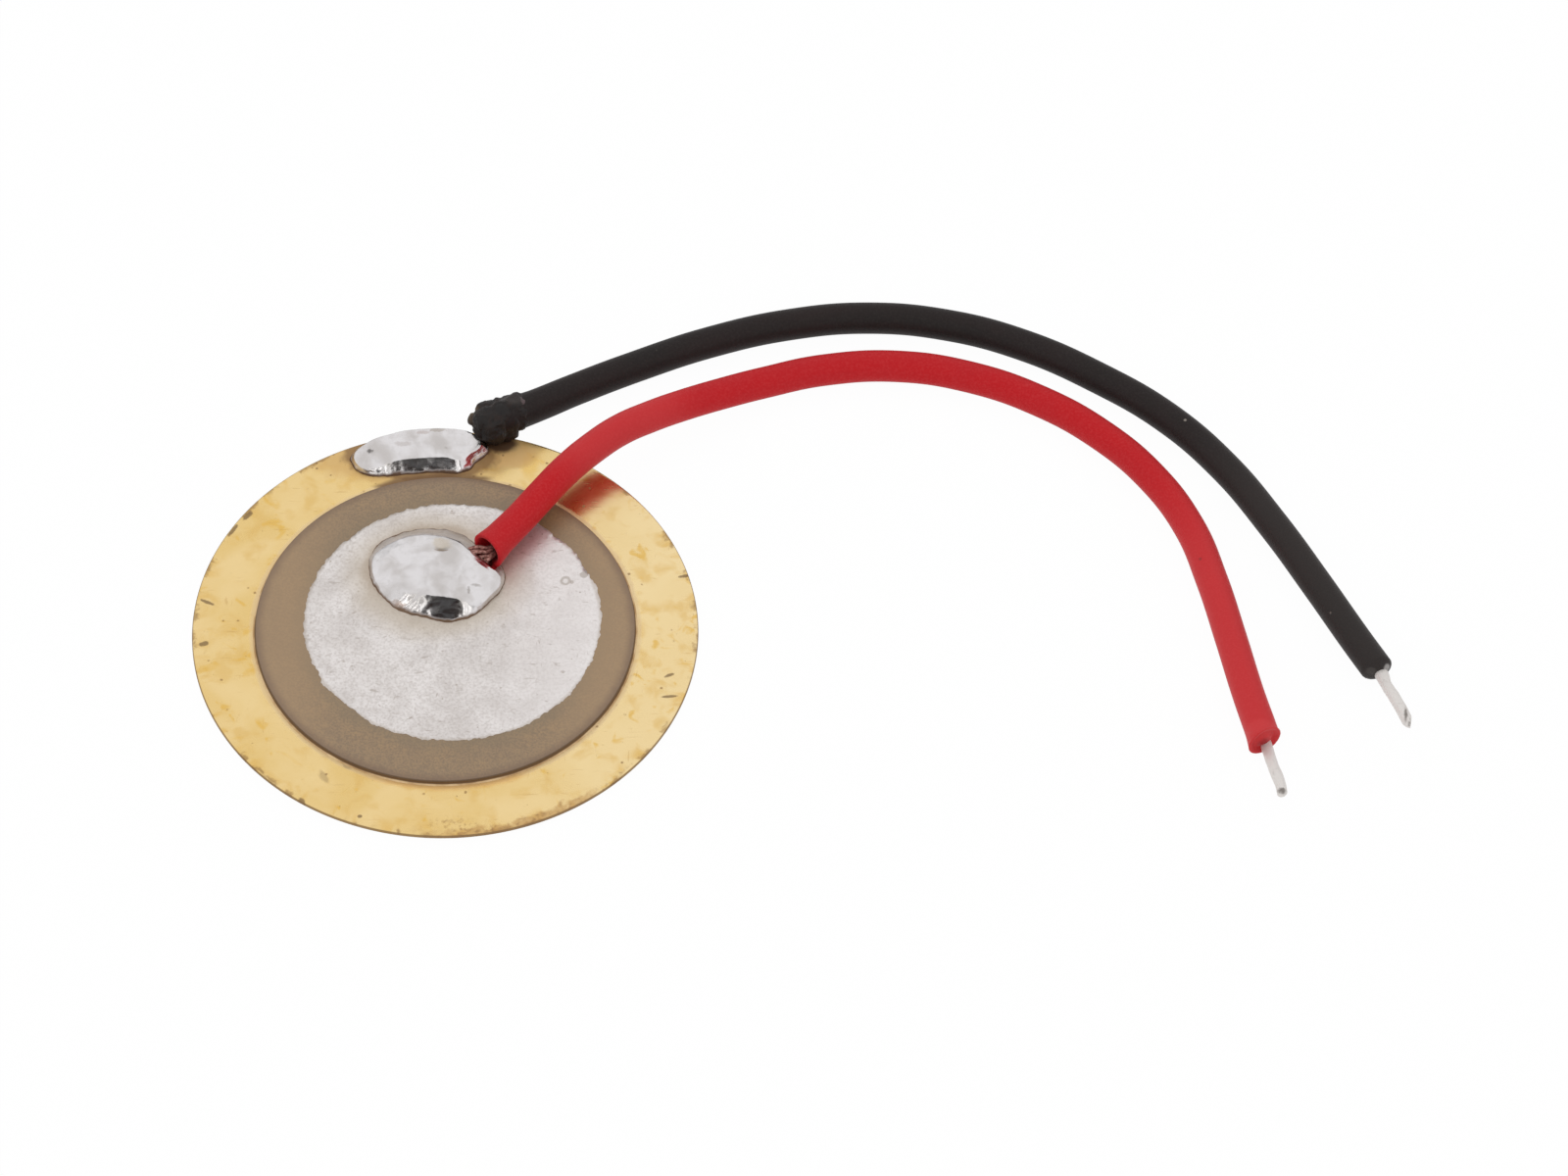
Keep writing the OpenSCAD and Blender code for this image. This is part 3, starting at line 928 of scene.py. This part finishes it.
# Adhesive: a thin amber bead, with painted shade where it climbs the ceramic
def beadFinish():
    look = Finish("adhesive")
    wander = look.grain(0.8, 3)
    colour = look.blend(look.fade(wander, 0.35, 0.65), tint(224, 192, 144), tint(190, 150, 98))
    # painted shade in the corner at the ceramic's foot
    shadedClimb = look.fade(look.coordinate("Z") + 0.04 * wander, 0.235, 0.275)
    look.surface(
        BaseColor=look.blend(shadedClimb, colour, tint(100, 72, 42)),
        Roughness=0.3 + 0.2 * wander,
        Normal=look.bump(look.grain(0.3, 2), 0.02),
    )
    return look


beadLook = beadFinish()


# Solder: bright metal with a faint skin, stained spots, and flux at its foot

centreSpots = (  # middle, reach, strength and colour of each stained spot
    ((-0.2, 3.5, 1.2), (0.42, 0.3, 0.5), 0.55, tint(196, 182, 160)),
    ((-0.25, 3.2, 1.2), (0.26, 0.06, 0.5), 0.7, tint(150, 128, 104)),
    ((-1.83, 0.93, 0.58), (0.2, 0.13, 0.3), 0.6, tint(150, 122, 104)),
    ((-2.0, 1.05, 0.6), (0.16, 0.12, 0.3), 0.5, tint(160, 134, 116)),
    ((1.2, 1.6, 1.1), (0.2, 0.06, 0.5), 0.6, tint(160, 154, 148)),
    ((0.9, 1.35, 1.1), (0.07, 0.16, 0.5), 0.6, tint(150, 144, 138)),
    ((-1.9, 1.5, 0.8), (0.6, 0.35, 0.6), 0.3, tint(190, 186, 184)),
)
rimSpots = (
    ((-3.26, 8.6, 0.72), (0.13, 0.08, 0.3), 0.9, tint(110, 106, 104)),
    ((-0.6, 9.5, 0.92), (0.3, 0.09, 0.4), 0.6, tint(170, 160, 150)),
    ((-1.18, 9.36, 0.92), (0.26, 0.09, 0.4), 0.5, tint(182, 166, 160)),
    ((-1.95, 8.85, 0.85), (0.36, 0.1, 0.4), 0.5, tint(186, 178, 174)),
    ((-0.22, 8.72, 0.82), (0.08, 0.05, 0.3), 0.5, tint(170, 166, 162)),
)


def solderFinish(name, seat, foot, spots):
    look = Finish(name)
    skin = look.grain(0.9, 3, 0.4)
    satin = look.grain(0.12, 2)
    frost = look.patches((0.3, 4, 0.5), 0.5, 0.72)
    stains = []
    for place, reach, strength, stain in spots:
        stains.append((strength, look.spot(place, reach, 1.8, 1.3, 0.6), stain))
    stained = sum(strength * mask for strength, mask, stain in stains)
    dark = look.fade(look.coordinate("Z") + 0.16 * look.grain(0.35, 4), seat + 0.22, seat + 0.12)
    colour = look.wash(
        look.blend(look.fade(skin, 0.35, 0.7), tint(224, 221, 222), tint(200, 195, 193)),
        (0.25, frost, tint(192, 188, 186)),
        *stains,
        (1, dark, foot),
    )
    look.surface(
        BaseColor=colour,
        Metallic=1 - 0.95 * dark,
        Roughness=0.16 + 0.1 * frost + 0.35 * dark + 0.15 * stained,
        Normal=look.bump(skin + 0.1 * satin + 0.08 * frost, 0.012),
    )
    return look


centreLook = solderFinish("centreSolder", centreJoint["seat"], tint(108, 82, 60), centreSpots)
rimLook = solderFinish("rimSolder", rimJoint["seat"], tint(90, 62, 40), rimSpots)


# Insulation: soft plastic with a fine matt grain, in faint streaks along it

redPlastic = {
    "main": tint(186, 12, 22),
    "streaks": tint(182, 18, 27),
    "worn": tint(202, 60, 62),
    "dust": tint(110, 44, 40),
    "shine": 0.22,
    "sheen": 0.06,
    "pale": (  # middle and reach of each stretch painted lighter, a painted sheen
        ((33, -3, 0.64), (9, 10, 4)),
        ((6, 9.5, 1.3), (3.5, 3, 3)),
        ((32.1, -5.0, 1.2), (0.7, 0.35, 0.7)),
    ),
    "singed": (  # middle, reach, strength and colour of scorch, painted shade and painted highlights
        # scorch, with painted shade in the hollow of the joint end
        ((1.8, 3.2, 1.1), (0.46, 0.42, 0.6), 0.85, tint(76, 22, 20)),
        ((1.55, 3.55, 1.5), (0.3, 0.22, 0.3), 0.6, tint(104, 28, 28)),
        # painted shade in the mouth of the stripped end
        ((32.34, -5.48, 0.66), (0.42, 0.3, 0.42), 0.6, tint(116, 10, 18)),
    ),
}
blackPlastic = {
    "main": tint(28, 23, 22),
    "streaks": tint(34, 24, 23),
    "worn": tint(52, 47, 45),
    "dust": tint(170, 160, 150),
    "shine": 0.2,
    "sheen": 0.04,
    # a stretch painted lighter, a painted sheen
    "pale": (((35, 1, 0.64), (8, 9, 4)),),
    "singed": (
        # painted highlights on the lip of the cap
        ((37.16, -1.66, 0.76), (0.2, 0.13, 0.25), 0.7, tint(176, 172, 170)),
        ((36.5, -1.86, 0.78), (0.24, 0.06, 0.3), 0.15, tint(120, 114, 110)),
    ),
}


def insulationFinish(name, plastic):
    look = Finish(name)
    grainy = look.grain(0.05, 2)
    streaky = look.fade(look.grain(0.3, 2, 0, look.along((1.2, 2.2, 0))), 0.4, 0.6)
    streaky = 0.6 * look.patches((2.5, 3), 0.35, 0.65) + 0.4 * streaky
    scuffed = look.patches((0.5, 4, 0.8), 0.62, 0.78)
    flecks = look.fade(look.cells(1.0) + 0.1 * look.grain(0.1, 2), 0.14, 0.09)
    flecks = flecks * look.patches((2.0, 2), 0.5, 0.56)
    colour = look.wash(
        look.blend(streaky, plastic["main"], plastic["streaks"]),
        # painted sheen on the lighter stretches, then real wear and scuffs
        *((0.5, look.spot(place, reach, 0, 1.3, 0.6), plastic["worn"]) for place, reach in plastic["pale"]),
        (0.25, look.patches((0.09, 2), 0.4, 0.7), plastic["worn"]),
        (0.25, scuffed, plastic["worn"]),
        (0.6, flecks, plastic["dust"]),
    )
    # scorch, painted shade and painted highlights, spot by spot
    for place, reach, strength, stain in plastic["singed"]:
        colour = look.wash(colour, (strength, look.spot(place, reach, 0.3, 1.2, 0.55), stain))
    look.surface(
        BaseColor=colour,
        Roughness=0.5 + 0.1 * grainy + 0.1 * scuffed,
        SpecularIORLevel=plastic["shine"],
        SheenWeight=plastic["sheen"],
        SheenRoughness=0.35,
        Normal=look.bump(grainy + 0.5 * scuffed, 0.006),
    )
    return look


redLook = insulationFinish("redPlastic", redPlastic)
blackLook = insulationFinish("blackPlastic", blackPlastic)


# Burnt insulation: dull lumps with a brown, a purplish and an ashen spot, and flux low down
def burntFinish():
    look = Finish("burntPlastic")
    char = look.grain(0.35, 4, 0.6)
    colour = look.wash(
        look.blend(look.fade(char, 0.4, 0.7), tint(26, 22, 21), tint(38, 28, 24)),
        (0.75, look.spot((0.9, 10.1, 1.15), (0.4, 0.5, 0.4), 0.5, 1.15, 0.5), tint(98, 78, 58)),
        (0.7, look.spot((2.8, 10.5, 1.55), (0.11, 0.25, 0.3), 0.8, 1.15, 0.7), tint(108, 92, 94)),
        (0.5, look.spot((2.4, 10.5, 1.6), (0.5, 0.4, 0.4), 0.5, 1.15, 0.5), tint(72, 66, 64)),
        (0.8, look.fade(look.coordinate("Z"), 0.65, 0.3), tint(40, 26, 17)),
    )
    look.surface(
        BaseColor=colour,
        Roughness=0.42 + 0.3 * char,
        SpecularIORLevel=0.3,
        Normal=look.bump(look.grain(0.14, 4), 0.05),
    )
    return look


burntLook = burntFinish()


# Tinned copper: soft silver-grey, streaked along the strands, with painted shade at the cut ends and along
# one side of the black pin

paintedTinShade = (  # middle and reach
    ((32.89, -7.57, 0.6), (0.18, 0.08, 0.3)),
    ((37.82, -3.87, 0.7), (0.07, 0.32, 0.2)),
    ((37.97, -4.14, 0.5), (0.08, 0.1, 0.2)),
)


def tinFinish():
    look = Finish("tinnedCopper")
    streaks = look.grain(0.25, 3, 0, look.along((2, 26, 0)))
    smudge = look.patches((0.4, 3, 0.5), 0.56, 0.7)
    colour = look.wash(
        look.blend(look.fade(streaks, 0.35, 0.65), tint(234, 230, 227), tint(211, 205, 200)),
        # painted shade at the cut ends and along the black pin's side
        *((0.8, look.spot(place, reach, 1.2, 1.4, 0.3), tint(92, 82, 74)) for place, reach in paintedTinShade),
        (0.3, smudge, tint(160, 152, 146)),
    )
    look.surface(
        BaseColor=colour,
        Metallic=0.35,
        Roughness=0.5 + 0.15 * streaks,
        Normal=look.bump(streaks, 0.02),
    )
    return look


tinLook = tinFinish()


# Copper strands: a worn coat of tin over reddish metal
def strandFinish():
    look = Finish("strandCopper")
    streaks = look.grain(0.1, 2)
    colour = look.blend(look.fade(streaks, 0.35, 0.65), tint(188, 140, 130), tint(120, 76, 70))
    look.surface(BaseColor=colour, Metallic=0.8, Roughness=0.4 + 0.1 * streaks)
    return look


strandLook = strandFinish()
print("mixed the finishes")


# The pieces take their places; the lower electrode is hidden, and stays as its solid

putIn(plate, brassLook, "brass", "brass_plate")
putIn(ceramic, ceramicLook, "piezo_ceramic", "ceramic_disc")
putIn(silver, silverLook, "silver", "upper_electrode")
putIn(bead, beadLook, "epoxy", "epoxy_bond")
putIn(centreCast, centreLook, "solder", "centre_solder")
putIn(rimCast, rimLook, "solder", "rim_solder")
putIn(red, redLook, "red_pvc", "red_insulation")
putIn(black, blackLook, "black_pvc", "black_insulation")
putIn(melted, burntLook, "black_pvc", "black_insulation")
putIn(redTip, tinLook, "tinned_copper", "red_conductor")
putIn(blackTip, tinLook, "tinned_copper", "black_conductor")
putIn(jointStrands, strandLook, "tinned_copper", "red_conductor")
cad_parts["lower_electrode"].data.materials.clear()
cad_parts["lower_electrode"].data.materials.append(silverLook.material)

print("lengths of the leads:", round(lengthOf(redLine), 2), "and", round(lengthOf(blackLine), 2))
redLine[0] * mm
[p * mm for p in redLine]
blackLine[0] * mm
[p * mm for p in blackLine]


# Floor and light

studio = {
    "floorSize": 6,
    "floorDrop": 0.0001,  # it lies just below the part
    "paper": (0.95, 0.95, 0.95, 1),
    "glow": 0.97,  # the share of the floor's white that takes no shadow
    "sky": 0.9,
    "shine": 0.97,  # what metal sees above it
    "rearShine": 0.42,  # and low down at the rear
    "rearHeight": (0.45, 0.0),  # where the rear's shine begins and is full
    "rearSide": (0.1, 0.8),
    "lamp": (-0.3, 0.25, 0.75),
    "lampSize": 0.5,
    "lampPower": 0.55,
}

deselectAll()
bpy.ops.mesh.primitive_plane_add(size=studio["floorSize"], location=(0, 0, -studio["floorDrop"]))
floor = newest("floor")
settle(floor)
floorLook = Finish("floorPaper")
floorLook.surface(BaseColor=studio["paper"], Roughness=0.9, SpecularIORLevel=0.0)
seen = floorLook.ray("Camera") + floorLook.ray("Glossy") + floorLook.ray("Transmission")
glow = floorLook.node("ShaderNodeEmission", values={"Color": (1, 1, 1, 1), "Strength": 1.0})
floorLook.cover(studio["glow"] * seen, glow)
floor.data.materials.append(floorLook.material)

world = bpy.data.worlds.new("tent")
bpy.context.scene.world = world
tent = Finish("tent", world)
direction = tent.node("ShaderNodeTexCoord", output="Generated")
lowRear = tent.fade(tent.coordinate("Z", direction), *studio["rearHeight"])
lowRear = lowRear * tent.fade(tent.coordinate("Y", direction), *studio["rearSide"])
level = studio["shine"] + (studio["rearShine"] - studio["shine"]) * lowRear
level = studio["sky"] + tent.ray("Glossy") * (level - studio["sky"])
seen = tent.ray("Camera") + tent.ray("Transmission")
level = level + seen * (1 - level)
tent.join(level, tent.nodes["Background"].inputs["Strength"])
tent.nodes["Background"].inputs["Color"].default_value = (1, 1, 1, 1)

bpy.ops.object.light_add(type="AREA", location=studio["lamp"])
lamp = newest("softbox")
lamp.data.size = studio["lampSize"]
lamp.data.energy = studio["lampPower"]
lamp.rotation_euler = Vector(studio["lamp"]).to_track_quat("Z", "Y").to_euler()
lamp.visible_glossy = False  # the metal shows the tent alone


# Black cards with white margins glow before the joints, where only shine sees them: a painted reflection,
# dark with painted highlight streaks, that the solder mirrors

reflectionCards = {
    "places": (  # middle, width and height
        ((-0.35, -1.6, 2.4), 11.25, 4.2),
        ((-0.93, 5.8, 2.0), 4.85, 3.0),
    ),
    "black": ((0.325, 0.34), (0.675, 0.66)),  # shares of the width where the black begins and is full
    "streaks": (  # shares of the width that glow as painted highlight streaks, besides some thin chance ones
        (0.09, 0.14), (0.215, 0.255), (0.305, 0.325), (0.675, 0.7), (0.725, 0.74), (0.765, 0.785),
        (0.81, 0.86),
    ),
    "streakSoftness": 0.01,
    # margin, bright, upper, lower and band are glowing colours: painted highlight streaks and a painted dark
    # reflection
    "margin": (0.36, 0.35, 0.34, 1),
    "bright": (2.2, 2.2, 2.15, 1),
    "upper": (0.045, 0.042, 0.04, 1),
    "lower": (0.016, 0.008, 0.006, 1),
    "band": (0.12, 0.125, 0.13, 1),
    "lowerEdge": (0.42, 0.5),  # shares of the height, from the top
    "bandEdges": ((0.43, 0.46), (0.52, 0.48)),
    "clearEdge": (0.76, 0.8),  # the card shows nothing below it
}


# the cards' glow is a painted reflection, not a lamp
def cardFinish():
    look = Finish("card")
    spot = look.node("ShaderNodeTexCoord", output="UV")
    across = look.coordinate("X", spot)
    upright = look.coordinate("Y", spot)
    inner = look.fade(across, *reflectionCards["black"][0]) * look.fade(across, *reflectionCards["black"][1])
    stripes = look.grain(0.02, 1, 0, look.node("ShaderNodeCombineXYZ", values=(across,)))
    stripes = look.fade(stripes, 0.6, 0.7)
    soft = reflectionCards["streakSoftness"]
    for start, end in reflectionCards["streaks"]:
        streak = look.fade(across, start - soft, start + soft) * look.fade(across, end + soft, end - soft)
        stripes = look.larger(stripes, streak)
    white = look.blend(stripes, reflectionCards["margin"], reflectionCards["bright"])
    band = look.fade(upright, *reflectionCards["bandEdges"][0]) * look.fade(upright, *reflectionCards["bandEdges"][1])
    shade = look.blend(look.fade(upright, *reflectionCards["lowerEdge"]), reflectionCards["upper"], reflectionCards["lower"])
    shade = look.blend(band, shade, reflectionCards["band"])
    look.surface(BaseColor=(0, 0, 0, 1), Roughness=1.0, SpecularIORLevel=0.0, EmissionStrength=1.0)
    look.surface(EmissionColor=look.blend(inner, white, shade))
    behind = look.node("ShaderNodeNewGeometry", output="Backfacing")
    unseen = look.larger(behind, look.fade(upright, *reflectionCards["clearEdge"]))
    look.cover(unseen, look.node("ShaderNodeBsdfTransparent"))
    return look


reflectionCardLook = cardFinish()
for index, (middle, width, height) in enumerate(reflectionCards["places"]):
    deselectAll()
    bpy.ops.mesh.primitive_plane_add(size=1, location=Vector(middle) * mm, rotation=(-pi / 2, 0, 0))
    sheet = newest("card" + str(index))
    sheet.scale = (width * mm, height * mm, 1)
    settle(sheet)
    sheet.data.materials.append(reflectionCardLook.material)
    sheet.visible_camera = sheet.visible_diffuse = sheet.visible_shadow = False
    sheet.visible_transmission = sheet.visible_volume_scatter = False
print("lit the scene")

bpy.context.scene.view_settings.view_transform = "Standard"
